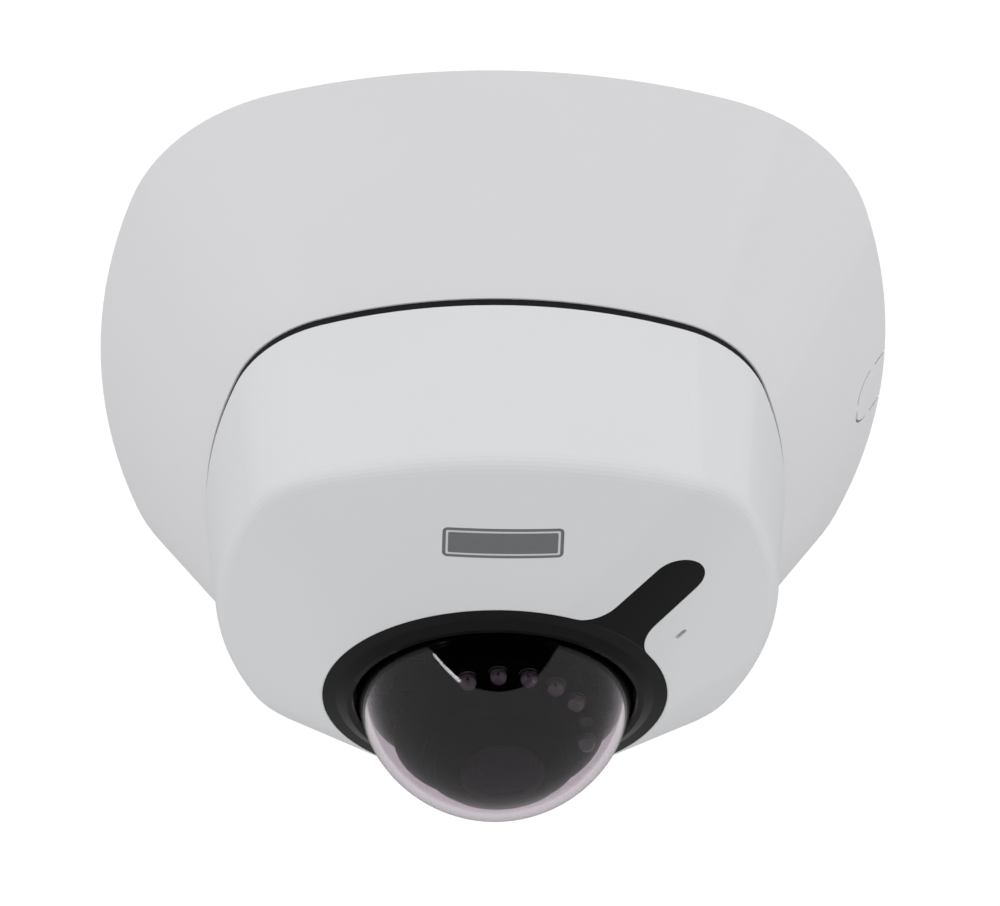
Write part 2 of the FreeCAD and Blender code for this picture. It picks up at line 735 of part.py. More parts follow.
def tail_prism(shrink):
    """Bezel outline with its tail, drawn out along the dome axis."""
    low = -12
    high = 14
    radius = rim_radius - rim_land - shrink
    half = tail_width / 2 - shrink
    turn = head.multiply(Placement(Vector(0, 0, 0), Rotation(Vector(0, 0, 1), tail_angle)))
    disc = rod(radius, low, high, turn)
    bar = block((0, tail_reach), (-half, half), (low, high), turn)
    tip = rod(half, low, high, turn, tail_reach, 0)
    body = disc.fuse(bar).fuse(tip).removeSplitter()
    corner_x = math.sqrt(radius ** 2 - half ** 2)
    corners = []
    for edge in body.Edges:
        ends = [turn.inverse().multVec(v.Point) for v in edge.Vertexes]
        upright = len(ends) == 2 and abs(ends[0].z - ends[1].z) > 20
        if upright and abs(ends[0].x - corner_x) < 0.01 and abs(abs(ends[0].y) - half) < 0.01:
            corners.append(edge)
    return body.makeFillet(tail_fillet, corners)


ledge_level = -rim_drop + wall_lean * trim_depth
inside_level = -rim_drop + wall_lean * cover_wall
seal_level = inside_level + 0.02
flange_level = seal_level + seal_thick
clamp_level = flange_level + flange_thick + 0.02
ear_angles = (-90, 0, 180)
screw_x = 22.0
plaque_size = (22.0, 6.6)
plaque_reach = rim_radius + 15.2
plaque_depth = 0.35
mic_x, mic_y = spot(rim_radius + 6.6, -30.5)
mic_half = 0.75             # half the slot's straight length
mic_turn = -45.0


def wall_y(x, half):
    """How far out a bowed side stands at x."""
    side = bow * half
    return half - (side - math.sqrt(side ** 2 - x ** 2))


def set_screw(radius, end_short, x):
    """Bar through the +Y wall that bears on the edge of the base plate."""
    level = cover_level - base_thick / 2
    near = wall_y(abs(x) - 1.3, base_half) + 0.2
    far = wall_y(x, seat_half) - end_short
    return Part.makeCylinder(radius, far - near, Vector(x, near, level), Vector(0, 1, 0))


def plaque_prism(grow):
    """Nameplate outline drawn out along the dome axis."""
    half_x = plaque_size[0] / 2 + grow
    half_y = plaque_size[1] / 2 + grow
    body = block((-half_x, half_x), (-plaque_reach - half_y, -plaque_reach + half_y), (-10, 12), head)
    back = head.inverse()
    upright = []
    for edge in body.Edges:
        ends = [back.multVec(v.Point) for v in edge.Vertexes]
        if abs(ends[0].z - ends[1].z) > 10:
            upright.append(edge)
    return body.makeFillet(1.0, upright)


def make_cover():
    outer = rounded_body()
    middle = cover_body(trim_depth)
    hollow = cover_body(cover_wall)
    skin = outer.cut(middle)
    shell = outer.cut(hollow)
    thin = outer.cut(cover_body(plaque_depth))
    shell = shell.cut(thin.common(plaque_prism(0.08)))
    for a in ear_angles:
        x, y = spot(clamp_screw_reach, a)
        boss = rod(2.4, -6, clamp_level - 0.02, head, x, y).common(cover_body(trim_depth + 0.2))
        shell = shell.fuse(boss)
    shell = shell.cut(rod(opening_radius, -20, 12, head))
    shell = shell.cut(skin.common(tail_prism(0)))
    for a in ear_angles:
        x, y = spot(clamp_screw_reach, a)
        shell = shell.cut(rod(small_screw + thread_gap, clamp_level - 2.4, clamp_level + 1, head, x, y))
    for x in (-screw_x, screw_x):
        shell = shell.cut(moved(set_screw(1.3, -4, x), Placement(Vector(0, -1, 0), Rotation())))
    turn = head.multiply(Placement(Vector(mic_x, mic_y, 0), Rotation(Vector(0, 0, 1), mic_turn)))
    ends = [rod(0.5, -12, 14, turn, x, 0) for x in (-mic_half, mic_half)]
    slot = join(ends + [block((-mic_half, mic_half), (-0.5, 0.5), (-12, 14), turn)])
    save("cover_shell", shell.cut(slot))
    capsule = rod(2.9, -6, 6.5, head, mic_x, mic_y).common(cover_body(cover_wall + 0.02))
    save("microphone", capsule)
    save("nameplate", thin.common(plaque_prism(0)))
    make_bezel(skin)


def make_bezel(skin):
    edge = rim_radius - rim_land - trim_gap
    tail = skin.common(tail_prism(trim_gap)).cut(rod(edge, -20, 20, head))
    top = -rim_drop - lip_rise
    ring = lathe([(lip_radius, inside_level - 0.1), (lip_radius, top + 0.4), (lip_radius + 0.4, top),
                  (lip_radius + 1.4, top), (lip_radius + 3.4, -rim_drop - 0.5), (edge, -rim_drop),
                  (edge, ledge_level), (opening_radius - 0.1, ledge_level), (opening_radius - 0.1, inside_level - 0.1)],
                 head)
    save("bezel", join([ring, tail]))


def make_dome():
    inner = dome_radius - dome_wall
    top = flange_level
    back = flange_level + flange_thick

    def point(radius, degrees):
        a = math.radians(degrees)
        return Vector(radius * math.sin(a), 0, -radius * math.cos(a))

    edges = [Part.Arc(point(dome_radius, 0), point(dome_radius, 45), point(dome_radius, 90)).toShape()]
    corners = [point(dome_radius, 90), Vector(dome_radius, 0, top), Vector(flange_radius, 0, top),
               Vector(flange_radius, 0, back), Vector(inner, 0, back), point(inner, 90)]
    for a, b in zip(corners, corners[1:]):
        edges.append(Part.LineSegment(a, b).toShape())
    edges.append(Part.Arc(point(inner, 90), point(inner, 45), point(inner, 0)).toShape())
    edges.append(Part.LineSegment(point(inner, 0), point(dome_radius, 0)).toShape())
    bubble = Part.Face(Part.Wire(edges)).revolve(Vector(0, 0, 0), Vector(0, 0, 1), 360)
    save("dome_bubble", moved(bubble, head))
    save("dome_seal", tube(flange_radius, opening_radius - 2.6, seal_level, flange_level, head))


def make_dome_clamp():
    high = clamp_level + clamp_thick
    shapes = [tube(rim_radius - 0.8, clamp_bore, clamp_level, high, head)]
    for a in ear_angles:
        turn = head.multiply(Placement(Vector(0, 0, 0), Rotation(Vector(0, 0, 1), a)))
        shapes.append(block((clamp_bore + 3, clamp_screw_reach), (-3.2, 3.2), (clamp_level, high), turn))
        shapes.append(rod(3.2, clamp_level, high, turn, clamp_screw_reach, 0))
    clamp = join(shapes).common(cover_body(cover_wall + 0.25))
    screws = []
    flip = head.multiply(Placement(Vector(0, 0, 0), Rotation(Vector(1, 0, 0), 180)))
    for a in ear_angles:
        x, y = spot(clamp_screw_reach, a)
        clamp = clamp.cut(rod(small_screw + 0.2, clamp_level - 1, high + 1, head, x, y))
        screws.append(pan_screw(small_screw, clamp_thick + 2.0, 1.9, 1.1, flip, x, -y, -high))
    save("dome_clamp", clamp)
    save("clamp_screws", group(screws))
    points = [(clamp_bore, high + 0.02), (clamp_bore + 3.4, high + 0.02), (clamp_bore + 3.4, high + 1.0),
              (clamp_bore + 1.2, high + 1.0), (clamp_bore + 1.2, high + 6.4), (clamp_bore, high + 6.4)]
    save("inner_skirt", lathe(points, head))


def make_cover_screws():
    screws = []
    for x in (-screw_x, screw_x):
        screw = set_screw(1.25, 0.6, x)
        level = cover_level - base_thick / 2
        socket = Part.makeCylinder(0.65, 1.4, Vector(x, wall_y(x, seat_half) - 0.6 - 1.3, level), Vector(0, 1, 0))
        screws.append(screw.cut(socket))
    save("cover_screws", group(screws))


os.makedirs("parts", exist_ok=True)
walls = box_walls()
make_box_shell(walls)
make_knockout(walls)
make_back_plate()
make_box_screws()
make_ceiling_seal()
make_seat_gasket()
make_camera_base()
make_base_screws()
make_cable_grommet()
make_main_board()
make_electronics()
make_gimbal_bracket()
make_pan_yoke()
make_tilt_parts()
make_module()
make_lens()
make_front_cowl()
make_led_board()
make_cover()
make_dome()
make_dome_clamp()
make_cover_screws()
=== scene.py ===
import json
import math
import bmesh
import bpy
from mathutils import Matrix, Vector


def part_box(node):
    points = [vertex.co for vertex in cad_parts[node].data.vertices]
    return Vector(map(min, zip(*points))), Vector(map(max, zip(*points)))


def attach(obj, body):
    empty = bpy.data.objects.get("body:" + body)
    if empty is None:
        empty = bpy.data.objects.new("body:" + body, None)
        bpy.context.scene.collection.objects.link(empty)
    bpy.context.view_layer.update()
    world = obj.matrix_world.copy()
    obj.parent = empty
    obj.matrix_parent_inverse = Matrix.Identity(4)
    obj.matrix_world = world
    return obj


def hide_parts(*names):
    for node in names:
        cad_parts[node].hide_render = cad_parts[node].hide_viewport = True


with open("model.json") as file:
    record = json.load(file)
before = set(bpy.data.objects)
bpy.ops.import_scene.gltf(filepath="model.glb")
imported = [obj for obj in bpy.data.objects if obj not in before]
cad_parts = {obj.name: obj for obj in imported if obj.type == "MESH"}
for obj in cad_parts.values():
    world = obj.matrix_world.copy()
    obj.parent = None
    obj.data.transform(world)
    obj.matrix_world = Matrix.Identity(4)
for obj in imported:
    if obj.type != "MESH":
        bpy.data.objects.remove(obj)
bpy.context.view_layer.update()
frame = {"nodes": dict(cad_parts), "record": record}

nodes = frame["nodes"]
joints = {row["name"]: row for row in frame["record"]["behaviour"]["joints"]}
scene = bpy.context.scene
mm = 0.001
joinGap = 0.0005   # millimetres; vertices nearer than this are one
print("frame loaded,", len(nodes), "pieces")


# colour and node helpers

noiseSpread = (0.3, 0.7)     # most of a noise texture's values lie between these
grainDepth = 0.3             # depth of a grain as a share of its width
rippleDepth = 0.02           # the same for a moulding ripple
waveLength = math.pi / 10    # metres between the bands of a wave texture of scale 1


def hexColour(text, alpha=1.0):
    # sRGB hex to the linear values that shaders want
    out = []
    for i in (0, 2, 4):
        v = int(text[i:i + 2], 16) / 255
        out.append(v / 12.92 if v <= 0.04045 else ((v + 0.055) / 1.055) ** 2.4)
    return (*out, alpha)


def addNode(tree, kind, settings=None, links=None):
    node = tree.nodes.new(kind)
    for name, value in (settings or {}).items():
        if isinstance(name, int) or name in node.inputs:
            node.inputs[name].default_value = value
        else:
            setattr(node, name, value)
    for name, source in (links or {}).items():
        tree.links.new(source, node.inputs[name])
    return node


def newMaterial(name):
    material = bpy.data.materials.new(name)
    material.use_nodes = True
    tree = material.node_tree
    tree.nodes.clear()
    return material, tree


def noiseOf(tree, place, size, detail):
    # noise whose blotches are about this many millimetres wide
    return addNode(tree, "ShaderNodeTexNoise", {"Scale": 1 / (size * mm), "Detail": detail},
                   {"Vector": place}).outputs["Fac"]


def twoTones(tree, tones, factor):
    tone = addNode(tree, "ShaderNodeMix", {"data_type": "RGBA"}, {"Factor": factor})
    tone.inputs["A"].default_value = hexColour(tones[0])
    tone.inputs["B"].default_value = hexColour(tones[1])
    return tone.outputs["Result"]


def mottledSurface(name, look):
    # a base finish: colour drifts between two tones, fine grain lifts the surface, roughness wanders
    material, tree = newMaterial(name)
    place = addNode(tree, "ShaderNodeTexCoord").outputs["Object"]
    drift = noiseOf(tree, place, look["driftMm"], 3.0)
    grain = noiseOf(tree, place, look["grainMm"], 2.0)
    rough = addNode(tree, "ShaderNodeMapRange",
                    {"From Min": noiseSpread[0], "From Max": noiseSpread[1],
                     "To Min": look["roughness"][0], "To Max": look["roughness"][1]}, {"Value": grain})
    lift = addNode(tree, "ShaderNodeBump",
                   {"Strength": look["lift"], "Distance": look["grainMm"] * mm * grainDepth}, {"Height": grain})
    shader = addNode(tree, "ShaderNodeBsdfPrincipled", look.get("shader"),
                     {"Base Color": twoTones(tree, look["tones"], drift), "Roughness": rough.outputs["Result"],
                      "Normal": lift.outputs["Normal"]})
    addNode(tree, "ShaderNodeOutputMaterial", None, {"Surface": shader.outputs["BSDF"]})
    return material


def clearResin(name, look):
    # transparent moulding: the tint sits in the transmission colour, ripples are shallow and wide
    material, tree = newMaterial(name)
    place = addNode(tree, "ShaderNodeTexCoord").outputs["Object"]
    ripple = noiseOf(tree, place, look["rippleMm"], 1.0)
    lift = addNode(tree, "ShaderNodeBump",
                   {"Strength": look["lift"], "Distance": look["rippleMm"] * mm * rippleDepth}, {"Height": ripple})
    shader = addNode(tree, "ShaderNodeBsdfPrincipled",
                     {"Base Color": hexColour(look["tint"]), "IOR": look["ior"], "Roughness": look["roughness"],
                      "Specular Tint": hexColour(look["mirror"]), "Transmission Weight": 1.0},
                     {"Normal": lift.outputs["Normal"]})
    addNode(tree, "ShaderNodeOutputMaterial", None, {"Surface": shader.outputs["BSDF"]})
    return material


finishes = {
    # satin powder on die-cast aluminium: soft broad sheen with a faint orange peel about 1.4 mm wide
    "powderCoatedAluminium": dict(tones=("d9d9db", "dddddf"), driftMm=45, grainMm=1.4,
        roughness=(0.42, 0.52), lift=0.03, shader={"IOR": 1.5}),
    # spark-eroded ABS: fine even texture, drawn at 0.5 mm so that it shows at all
    "erodedAbs": dict(tones=("d9dadb", "dddedf"), driftMm=40, grainMm=0.5,
        roughness=(0.40, 0.50), lift=0.05, shader={"IOR": 1.53}),
    # zinc plated pressed steel: bluish grey, cloudy
    "zincPlatedSteel": dict(tones=("9ea3a6", "b9bcbd"), driftMm=9, grainMm=0.8,
        roughness=(0.28, 0.42), lift=0.05, shader={"Metallic": 1.0}),
    # closed-cell EPDM: near black, dull
    "mouldedEpdm": dict(tones=("131414", "1c1d1d"), driftMm=6, grainMm=0.4,
        roughness=(0.62, 0.8), lift=0.12, shader={"IOR": 1.5}),
    # moulded epoxy of a chip: charcoal, matt
    "mouldedEpoxy": dict(tones=("17181a", "202124"), driftMm=3, grainMm=0.3,
        roughness=(0.45, 0.6), lift=0.06, shader={"IOR": 1.55}),
    # black anodised aluminium: dark satin with a metal's edge to it
    "blackAnodised": dict(tones=("151617", "1d1e20"), driftMm=5, grainMm=0.3,
        roughness=(0.32, 0.45), lift=0.05, shader={"Metallic": 1.0}),
    # tin over steel: pale and fairly bright
    "tinnedSteel": dict(tones=("b4b5b3", "cacac8"), driftMm=4, grainMm=0.4,
        roughness=(0.22, 0.34), lift=0.03, shader={"Metallic": 1.0}),
    # unfilled nylon: warm off-white, soft sheen
    "naturalNylon": dict(tones=("d6d2c4", "e2dfd3"), driftMm=4, grainMm=0.3,
        roughness=(0.4, 0.55), lift=0.05, shader={"IOR": 1.53}),
    # glass-filled nylon out of an eroded mould: deep charcoal that swallows light
    "erodedBlackNylon": dict(tones=("090a09", "0f100f"), driftMm=12, grainMm=0.35,
        roughness=(0.5, 0.62), lift=0.08, shader={"IOR": 1.52, "Specular IOR Level": 0.03}),
    # blackened spring steel: dark grey, oily
    "blackenedSpringSteel": dict(tones=("26272a", "3a3b3e"), driftMm=2, grainMm=0.3,
        roughness=(0.3, 0.45), lift=0.04, shader={"Metallic": 1.0}),
    # mirror-polished black ABS: deep black with a slight green cast, tiny moulding ripples
    "polishedBlackAbs": dict(tones=("0e100f", "141614"), driftMm=18, grainMm=2.5,
        roughness=(0.14, 0.2), lift=0.012, shader={"IOR": 1.54, "Specular IOR Level": 0.2}),
    # silvered plastic cup under a lamp's lens: pale, softly bright
    "silveredCup": dict(tones=("e4e2e6", "f2f0f4"), driftMm=1, grainMm=0.3,
        roughness=(0.3, 0.45), lift=0.02, shader={"Metallic": 0.25}),
    # gallium arsenide die: dark, glassy
    "polishedDie": dict(tones=("1a1520", "2a2230"), driftMm=0.4, grainMm=0.2,
        roughness=(0.12, 0.2), lift=0.02, shader={"IOR": 3.0}),
}
made = {name: mottledSurface(name, look) for name, look in finishes.items()}
# injection-moulded dome: faintly pink, with wide shallow ripples
made["clearPolycarbonate"] = clearResin("clearPolycarbonate", dict(
    tint="ece2ea", mirror="ffffff", ior=1.585, roughness=0.0, rippleMm=9, lift=0.008))

# cast epoxy of the lamps' lenses
made["ledEpoxy"] = clearResin("ledEpoxy", dict(
    tint="f4f0f6", mirror="ffffff", ior=1.53, roughness=0.0, rippleMm=1, lift=0.03))

# ground glass under an anti-reflection coating: it mirrors little, and that little is violet
made["coatedGlass"] = clearResin("coatedGlass", dict(
    tint="a9a2c4", mirror="4a4666", ior=1.62, roughness=0.0, rippleMm=3, lift=0.005))


def maskedLaminate(name, look):
    # solder mask over copper: broad tracks run along and across the board and lift the mask a little
    material, tree = newMaterial(name)
    place = addNode(tree, "ShaderNodeTexCoord").outputs["Object"]
    waves = []
    for direction in ("X", "Y"):
        wave = addNode(tree, "ShaderNodeTexWave",
                       {"bands_direction": direction, "Scale": waveLength / (look["trackMm"] * mm),
                        "Distortion": 0.0}, {"Vector": place})
        waves.append(wave.outputs["Fac"])
    zones = addNode(tree, "ShaderNodeTexVoronoi", {"Scale": 1 / (look["zoneMm"] * mm)}, {"Vector": place})
    pick = addNode(tree, "ShaderNodeMath", {"operation": "GREATER_THAN", 1: 0.5}, {0: zones.outputs["Distance"]})
    track = addNode(tree, "ShaderNodeMix", {"data_type": "FLOAT"},
                    {"Factor": pick.outputs[0], "A": waves[0], "B": waves[1]})
    edge = addNode(tree, "ShaderNodeMapRange", {"From Min": 0.45, "From Max": 0.55},
                   {"Value": track.outputs["Result"]}).outputs["Result"]
    lift = addNode(tree, "ShaderNodeBump", {"Strength": 0.3, "Distance": look["copperMm"] * mm}, {"Height": edge})
    shader = addNode(tree, "ShaderNodeBsdfPrincipled",
                     {"IOR": 1.55, "Roughness": look["roughness"], "Specular IOR Level": look["gloss"]},
                     {"Base Color": twoTones(tree, look["tones"], edge), "Normal": lift.outputs["Normal"]})
    addNode(tree, "ShaderNodeOutputMaterial", None, {"Surface": shader.outputs["BSDF"]})
    return material


# blank foil plate, in millimetres: half its size, the border line in from its edge, the line's rounded corner
plate = dict(half=(11.0, 3.3), line=(0.55, 0.95), corner=0.6, grain=0.4, lineDepth=0.1)


def etchedPlate(name, look):
    # satin foil with one fine pale line let in along its border
    material, tree = newMaterial(name)
    low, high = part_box("nameplate")
    middle = [(a + b) / 2 for a, b in zip(low, high)]
    lean = math.atan2(-joints["pan"]["axis"][1], joints["pan"]["axis"][2])
    place = addNode(tree, "ShaderNodeTexCoord").outputs["Object"]
    flat = addNode(tree, "ShaderNodeMapping",
                   {"vector_type": "TEXTURE", "Location": middle, "Rotation": (lean, 0, 0)}, {"Vector": place})
    parts = addNode(tree, "ShaderNodeSeparateXYZ", None, {"Vector": flat.outputs["Vector"]})
    inward = []
    for axis, half in zip("XY", plate["half"]):
        size = addNode(tree, "ShaderNodeMath", {"operation": "ABSOLUTE"}, {0: parts.outputs[axis]})
        depth = addNode(tree, "ShaderNodeMath", {"operation": "SUBTRACT", 0: half * mm}, {1: size.outputs[0]})
        inward.append(depth.outputs[0])
    near = addNode(tree, "ShaderNodeMath", {"operation": "SMOOTH_MIN", 2: plate["corner"] * mm},
                   {0: inward[0], 1: inward[1]})
    start, end = plate["line"]
    line = addNode(tree, "ShaderNodeMath",
                   {"operation": "COMPARE", 1: (start + end) / 2 * mm, 2: (end - start) / 2 * mm},
                   {0: near.outputs[0]}).outputs[0]
    foil = twoTones(tree, look["tones"], noiseOf(tree, place, plate["grain"], 2.0))
    tone = addNode(tree, "ShaderNodeMix", {"data_type": "RGBA"}, {"Factor": line, "A": foil})
    tone.inputs["B"].default_value = hexColour(look["lineTone"])
    lift = addNode(tree, "ShaderNodeBump", {"Strength": 0.2, "Distance": plate["lineDepth"] * mm}, {"Height": line})
    shader = addNode(tree, "ShaderNodeBsdfPrincipled", {"Metallic": 0.3, "Roughness": 0.42},
                     {"Base Color": tone.outputs["Result"], "Normal": lift.outputs["Normal"]})
    addNode(tree, "ShaderNodeOutputMaterial", None, {"Surface": shader.outputs["BSDF"]})
    return material


made["etchedFoilPlate"] = etchedPlate("etchedFoilPlate", dict(tones=("75777a", "808284"), lineTone="e2e3e4"))

# green mask on the big boards, dull black mask round the lens where stray light must die
made["solderMask"] = maskedLaminate("solderMask", dict(
    tones=("0c3a20", "14542f"), trackMm=9, zoneMm=7, copperMm=0.03, roughness=0.32, gloss=0.5))
made["blackSolderMask"] = maskedLaminate("blackSolderMask", dict(
    tones=("0a0b0b", "101111"), trackMm=9, zoneMm=5, copperMm=0.03, roughness=0.5, gloss=0.04))

slotFinish = {
    "coated_aluminium": "powderCoatedAluminium", "white_plastic": "erodedAbs",
    "galvanised_steel": "zincPlatedSteel", "black_rubber": "mouldedEpdm",
    "circuit_board": "solderMask", "chip_plastic": "mouldedEpoxy",
    "black_anodised": "blackAnodised", "tinned_steel": "tinnedSteel",
    "ceramic_white": "naturalNylon", "black_plastic": "erodedBlackNylon",
    "gloss_black": "polishedBlackAbs", "clear_polycarbonate": "clearPolycarbonate",
    "coated_glass": "coatedGlass", "clear_epoxy": "ledEpoxy",
    "spring_steel": "blackenedSpringSteel", "grey_foil": "etchedFoilPlate",
}
for row in frame["record"]["subparts"]:
    piece = nodes[row["node"]]
    piece.data.materials.clear()
    piece.data.materials.append(made[slotFinish[row["material_slot"]]])
nodes["infrared_board"].data.materials[0] = made["blackSolderMask"]
print("finishes on the pieces")


# places: the dome's axis and the lens axis come from the joints

def axes(centre, x, z):
    x, z = Vector(x).normalized(), Vector(z).normalized()
    y = z.cross(x)
    turn = Matrix((x, y, z)).transposed().to_4x4()
    return Matrix.Translation(Vector(centre)) @ turn


domePlace = axes(joints["pan"]["pos_m"], (1, 0, 0), joints["pan"]["axis"])
lensPlace = axes(joints["rotate"]["pos_m"], [-v for v in joints["tilt"]["axis"]], joints["rotate"]["axis"])


def finishPiece(name, mesh, place, finish, body, smooth=40):
    # millimetres in the piece's own frame become metres in the shared one
    bmesh.ops.remove_doubles(mesh, verts=mesh.verts, dist=joinGap)
    bmesh.ops.recalc_face_normals(mesh, faces=mesh.faces)
    bmesh.ops.transform(mesh, matrix=place @ Matrix.Scale(mm, 4), verts=mesh.verts)
    data = bpy.data.meshes.new(name)
    mesh.to_mesh(data)
    mesh.free()
    for face in data.polygons:
        face.use_smooth = True
    data.set_sharp_from_angle(angle=math.radians(smooth))
    piece = bpy.data.objects.new(name, data)
    scene.collection.objects.link(piece)
    data.materials.append(made[finish])
    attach(piece, body)
    return piece


def profileLine(mesh, points, start=None):
    # chain of edges through (across, up) points; returns its last vertex
    last = start
    for across, up in points:
        vert = mesh.verts.new((across, 0, up))
        if last is not None:
            mesh.edges.new((last, vert))
        last = vert
    return last


def profileArc(mesh, start, centre, degrees, steps):
    # swing a vertex about a centre in the profile's plane; returns the vertex at its end
    swept = bmesh.ops.spin(mesh, geom=[start], cent=(centre[0], 0, centre[1]), axis=(0, 1, 0), dvec=(0, 0, 0),
                           angle=math.radians(degrees), steps=steps, use_merge=False, use_duplicate=False)
    return [item for item in swept["geom_last"] if isinstance(item, bmesh.types.BMVert)][0]


def turnProfile(mesh, steps):
    bmesh.ops.spin(mesh, geom=mesh.verts[:] + mesh.edges[:], cent=(0, 0, 0), axis=(0, 0, 1), dvec=(0, 0, 0),
                   angle=math.tau, steps=steps, use_merge=True, use_duplicate=False)
    bmesh.ops.remove_doubles(mesh, verts=mesh.verts, dist=joinGap)


# clear bubble

bubble = dict(radius=26.1, wall=1.6, flange=31.4, seat=0.884, back=2.484, rim=0.35, rings=48, steps=160)


def makeBubble():
    mesh = bmesh.new()
    inner = bubble["radius"] - bubble["wall"]
    start = mesh.verts.new((0, 0, -bubble["radius"]))
    end = profileArc(mesh, start, (0, 0), -90, bubble["rings"])
    end = profileLine(mesh, [(bubble["radius"], bubble["seat"]),
                             (bubble["flange"] - bubble["rim"], bubble["seat"]),
                             (bubble["flange"], bubble["seat"] + bubble["rim"]),
                             (bubble["flange"], bubble["back"]),
                             (inner, bubble["back"]), (inner, 0)], end)
    profileArc(mesh, end, (0, 0), 90, bubble["rings"])
    turnProfile(mesh, bubble["steps"])
    piece = finishPiece("clearBubble", mesh, domePlace, "clearPolycarbonate", "cover")
    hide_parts("dome_bubble")


makeBubble()
print("bubble turned")


# infrared lamps: clear bullet lenses over silvered cups, each with its die

lamps = dict(reach=16.2, level=13.0, angles=(-33, -13, 7, 27, 47, 87),
             foot=0.02, radius=1.55, lip=1.95, lipHigh=0.35, high=0.9,
             cupBase=0.06, cupInner=0.12, cupFloor=0.5, cupMouth=1.2, cupHigh=0.95, cupWall=0.08,
             die=0.34, dieEdge=0.03)


def lampSpots():
    spots = []
    for angle in lamps["angles"]:
        turn = math.radians(angle)
        spots.append(Matrix.Translation((lamps["reach"] * math.sin(turn), lamps["reach"] * math.cos(turn),
                                         lamps["level"])))
    return spots


def repeated(make):
    # one small shape at every lamp
    whole = bmesh.new()
    for spot in lampSpots():
        part = make()
        bmesh.ops.transform(part, matrix=spot, verts=part.verts)
        data = bpy.data.meshes.new("part")
        part.to_mesh(data)
        part.free()
        whole.from_mesh(data)
        bpy.data.meshes.remove(data)
    return whole


def lampLens():
    mesh = bmesh.new()
    end = profileLine(mesh, [(0, lamps["foot"]), (lamps["lip"], lamps["foot"]), (lamps["lip"], lamps["lipHigh"]),
                             (lamps["radius"], lamps["lipHigh"]), (lamps["radius"], lamps["high"])])
    profileArc(mesh, end, (0, lamps["high"]), -90, 12)
    turnProfile(mesh, 32)
    return mesh


def lampCup():
    mesh = bmesh.new()
    outer = lamps["cupMouth"] + lamps["cupWall"]
    profileLine(mesh, [(0, lamps["cupInner"]), (lamps["cupFloor"], lamps["cupInner"]),
                       (lamps["cupMouth"], lamps["cupHigh"]), (outer, lamps["cupHigh"]),
                       (outer, lamps["cupBase"]), (0, lamps["cupBase"])])
    turnProfile(mesh, 28)
    return mesh


def lampDie():
    mesh = bmesh.new()
    bmesh.ops.create_cube(mesh, size=lamps["die"])
    bmesh.ops.translate(mesh, verts=mesh.verts, vec=(0, 0, lamps["cupInner"] + lamps["die"] / 2))
    bmesh.ops.bevel(mesh, geom=mesh.edges[:], offset=lamps["dieEdge"], offset_type="OFFSET", segments=1,
                    profile=0.5, affect="EDGES", material=-1)
    return mesh


lenses = finishPiece("lampLenses", repeated(lampLens), lensPlace, "ledEpoxy", "camera_module")
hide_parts("infrared_leds")
finishPiece("lampCups", repeated(lampCup), lensPlace, "silveredCup", "camera_module", 30)
finishPiece("lampDies", repeated(lampDie), lensPlace, "polishedDie", "camera_module", 20)
print("lamps placed")

# camera: looks up at the tall side from below, aimed near the middle of the seam; lengths in millimetres
view = dict(elevation=44.262, turn=2.465, roll=-1.016, lens=216.0, sensor=36.0, distance=1142.11,
            aside=-1.091, above=9.878, seam=39.5, clip=(0.05, 20.0))


def placeCamera():
    elevation, turn, roll = (math.radians(view[key]) for key in ("elevation", "turn", "roll"))
    forward = Vector((math.sin(turn) * math.cos(elevation), math.cos(turn) * math.cos(elevation),
                      math.sin(elevation)))
    right = Vector((math.cos(turn), -math.sin(turn), 0))
    up = right.cross(forward)
    spot = Vector((0, 0, -view["seam"])) - view["distance"] * forward - view["aside"] * right + view["above"] * up
    rightTurned = math.cos(roll) * right + math.sin(roll) * up
    upTurned = -math.sin(roll) * right + math.cos(roll) * up
    turned = Matrix((rightTurned, upTurned, -forward)).transposed().to_4x4()
    data = bpy.data.cameras.new("camera")
    data.sensor_width = view["sensor"]
    data.lens = view["lens"]
    data.clip_start, data.clip_end = view["clip"]
    camera = bpy.data.objects.new("camera", data)
    camera.matrix_world = Matrix.Translation(spot * mm) @ turned
    scene.collection.objects.link(camera)
    scene.camera = camera
    return -forward


towardsCamera = placeCamera()

# studio: a white tent that lights from below, dimmer where it is mirrored, with a dark panel in front of the
# object and one strip light along the panel's left side, its top end behind the panel; lengths in metres
studio = dict(floorLevel=-2.0, floorHalf=6.0,
              fillFrom=(0.25, 0, -0.97), fillSpan=(-0.3, 1.0), fillHigh=1.07, fillLow=1.85,
              shadeSpan=(-0.6, 0.2), back=0.32, front=0.28, throughSpan=(-0.85, -0.35), through=0.80, seen=1.05,
              stripTop=(-0.862, -0.68, -0.167), stripLow=(-0.515, -0.651, -0.656), stripWide=0.045,
              stripPower=0.527)

# the dark panel stands upright: a bowl of an arc below, slanted sides, and shoulders that spread at the top
panel = dict(away=-0.655, bowl=0.6875, bowlMiddle=(0.008, -0.1575), bowlHalf=48, steps=12,
             right=((0.785, -0.01), (1.07, 0.39)), left=((-1.35, 0.45), (-0.95, 0.0)))


def linkStage(name, mesh, finish):
    data = bpy.data.meshes.new(name)
    mesh.to_mesh(data)
    mesh.free()
    thing = bpy.data.objects.new(name, data)
    scene.collection.objects.link(thing)
    data.materials.append(finish)
    return thing


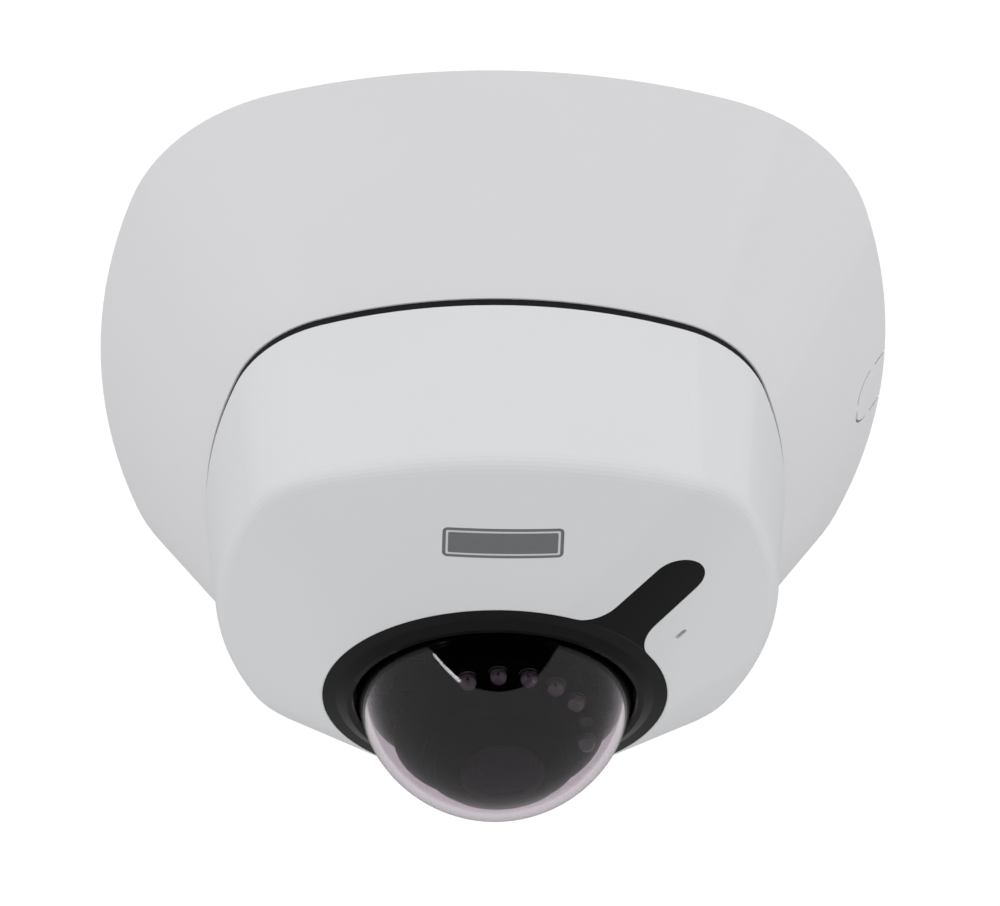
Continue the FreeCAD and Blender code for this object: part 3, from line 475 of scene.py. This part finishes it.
def makeFloor():
    mesh = bmesh.new()
    bmesh.ops.create_grid(mesh, x_segments=1, y_segments=1, size=studio["floorHalf"])
    bmesh.ops.translate(mesh, verts=mesh.verts, vec=(0, 0, studio["floorLevel"]))
    paint = mottledSurface("paintedFloor", dict(tones=("e9e9ea", "eeeeef"), driftMm=900, grainMm=8,
                                                roughness=(0.5, 0.6), lift=0.02))
    floor = linkStage("studioFloor", mesh, paint)
    floor.visible_glossy = floor.visible_transmission = False   # it lights the object but isn't mirrored in it


def makePanel():
    mesh = bmesh.new()
    across, up = panel["bowlMiddle"]
    half = math.radians(panel["bowlHalf"])
    first = mesh.verts.new((across - panel["bowl"] * math.sin(half), 0, up - panel["bowl"] * math.cos(half)))
    end = profileArc(mesh, first, panel["bowlMiddle"], -2 * panel["bowlHalf"], panel["steps"])
    end = profileLine(mesh, [*panel["right"], *panel["left"]], end)
    mesh.edges.new((end, first))
    bmesh.ops.contextual_create(mesh, geom=mesh.edges[:])
    bmesh.ops.translate(mesh, verts=mesh.verts, vec=(0, panel["away"], 0))
    felt = mottledSurface("blackFelt", dict(tones=("050505", "090909"), driftMm=80, grainMm=3,
                                            roughness=(0.85, 0.95), lift=0.1, shader={"Specular IOR Level": 0.1}))
    gap = linkStage("tentGap", mesh, felt)
    gap.visible_camera = gap.visible_diffuse = gap.visible_shadow = False


def spread(tree, value, span, ends, smooth):
    # a number that goes from one end to the other as value crosses its span
    kind = "SMOOTHSTEP" if smooth else "LINEAR"
    return addNode(tree, "ShaderNodeMapRange",
                   {"interpolation_type": kind, "From Min": span[0], "From Max": span[1],
                    "To Min": ends[0], "To Max": ends[1]}, {"Value": value}).outputs["Result"]


def makeTent():
    world = bpy.data.worlds.new("whiteTent")
    scene.world = world
    world.use_nodes = True
    tree = world.node_tree
    tree.nodes.clear()
    path = addNode(tree, "ShaderNodeLightPath")
    way = addNode(tree, "ShaderNodeTexCoord").outputs["Generated"]
    facing = addNode(tree, "ShaderNodeVectorMath", {"operation": "DOT_PRODUCT", 1: towardsCamera},
                     {0: way}).outputs["Value"]
    down = addNode(tree, "ShaderNodeVectorMath", {"operation": "DOT_PRODUCT", 1: studio["fillFrom"]},
                   {0: way}).outputs["Value"]
    level = spread(tree, facing, studio["shadeSpan"], (studio["back"], studio["front"]), True)
    through = spread(tree, facing, studio["throughSpan"], (studio["through"], studio["front"]), True)
    fill = spread(tree, down, studio["fillSpan"], (studio["fillHigh"], studio["fillLow"]), False)
    for kind, source in (("Is Transmission Ray", through), ("Is Diffuse Ray", fill)):
        level = addNode(tree, "ShaderNodeMix", {"data_type": "FLOAT"},
                        {"Factor": path.outputs[kind], 2: level, 3: source}).outputs["Result"]
    level = addNode(tree, "ShaderNodeMix", {"data_type": "FLOAT", 3: studio["seen"]},
                    {"Factor": path.outputs["Is Camera Ray"], 2: level}).outputs["Result"]
    tent = addNode(tree, "ShaderNodeBackground", {"Color": (1, 1, 1, 1)}, {"Strength": level})
    addNode(tree, "ShaderNodeOutputWorld", None, {"Surface": tent.outputs["Background"]})


def stripLight():
    top, low = Vector(studio["stripTop"]), Vector(studio["stripLow"])
    middle = (top + low) / 2
    back = (middle - domePlace.translation).normalized()
    along = (top - low).normalized()
    along = (along - along.dot(back) * back).normalized()
    data = bpy.data.lights.new("stripLight", "AREA")
    data.shape = "RECTANGLE"
    data.size = studio["stripWide"]
    data.size_y = (top - low).length
    data.energy = studio["stripPower"]
    lamp = bpy.data.objects.new("stripLight", data)
    turned = Matrix((along.cross(back), along, back)).transposed().to_4x4()
    lamp.matrix_world = Matrix.Translation(middle) @ turned
    scene.collection.objects.link(lamp)


makeFloor()
makePanel()
makeTent()
stripLight()
scene.view_settings.view_transform = "Standard"
print("studio ready")
